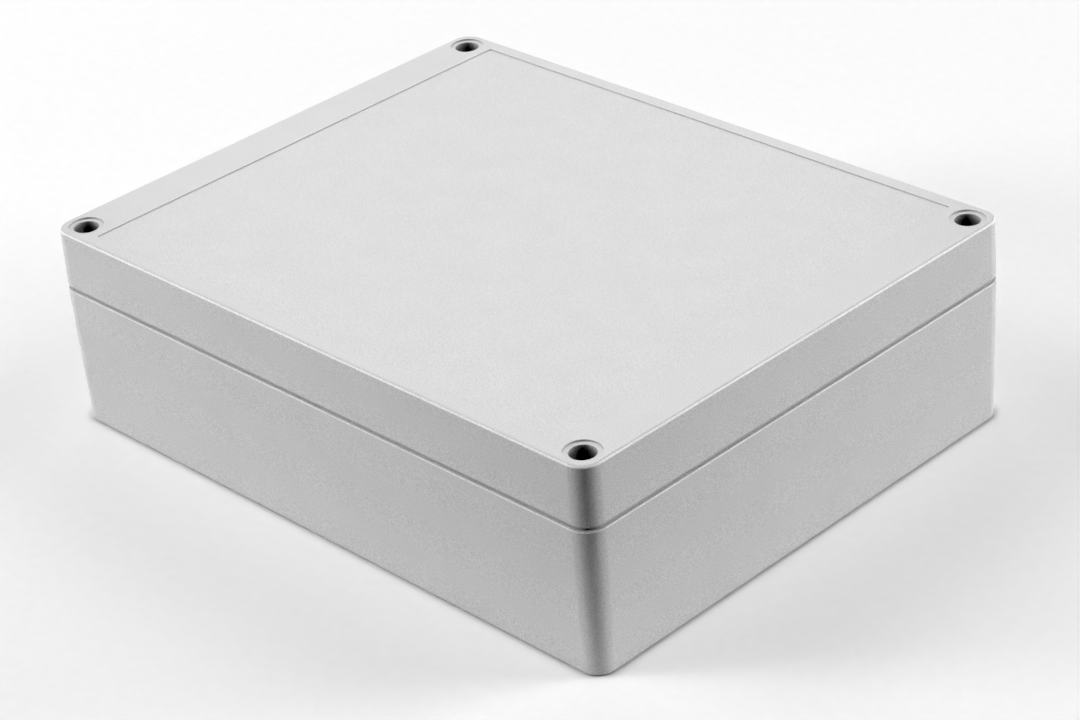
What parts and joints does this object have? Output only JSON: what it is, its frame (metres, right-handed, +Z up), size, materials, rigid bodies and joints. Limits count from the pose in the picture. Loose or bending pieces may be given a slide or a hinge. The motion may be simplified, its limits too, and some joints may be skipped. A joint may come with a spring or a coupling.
{
  "type": "plastic enclosure",
  "caption": "Sealed two-piece plastic enclosure: drafted box base with corner blocks and a gasketed lift-off lid held by screws in deep corner wells.",
  "frame": {"origin": "centre of the base's underside", "axes": "+X along the case's length, +Y across it, +Z up through the lid"},
  "size_m": [0.186, 0.146, 0.055],
  "materials": {
    "base_plastic": "light grey, fine moulded texture",
    "lid_plastic": "light grey, fine moulded texture",
    "gasket_rubber": "matte black",
    "insert_brass": "turned",
    "screw_steel": "turned stainless"
  },
  "bodies": {
    "base": {"base": "base_plastic", "threaded_inserts": "insert_brass"},
    "lid": {"lid": "lid_plastic", "gasket": "gasket_rubber", "lid_screws": "screw_steel"}
  },
  "joints": [
    {"name": "lid_lift", "type": "slide", "parent": "base", "child": "lid", "axis": [0, 0, 1], "range_m": [0, 0.08]}
  ]
}
